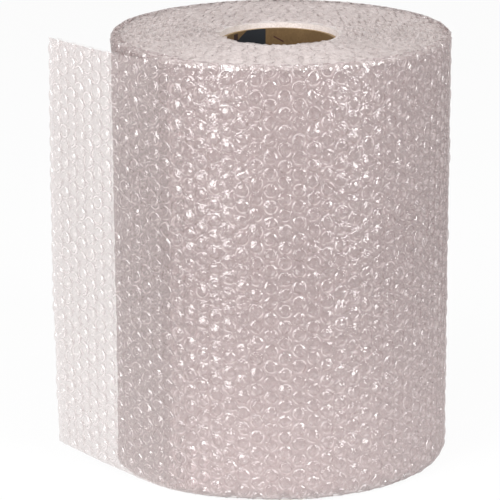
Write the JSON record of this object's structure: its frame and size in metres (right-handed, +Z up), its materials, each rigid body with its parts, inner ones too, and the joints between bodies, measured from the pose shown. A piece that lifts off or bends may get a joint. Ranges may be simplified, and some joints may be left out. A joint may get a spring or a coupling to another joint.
{
  "type": "bubble wrap roll",
  "caption": "Roll of small-bubble cushioning film on a cardboard core, standing on its end with a free tail curving away from it.",
  "frame": {"origin": "on the axis of the core, at the core's lower end, in the plane that the roll stands on", "axes": "+Z up along the core's axis; -Y towards the front; the tail leaves the roll towards -X"},
  "size_m": [0.2812, 0.2409, 0.305],
  "materials": {
    "film": "clear thin polyethylene film, glossy, grey and slightly milky where it lies in many layers",
    "core_board": "matt brown kraft board wound in a spiral"
  },
  "bodies": {
    "root": {"bubble_film": "film", "cardboard_core": "core_board"}
  },
  "joints": []
}
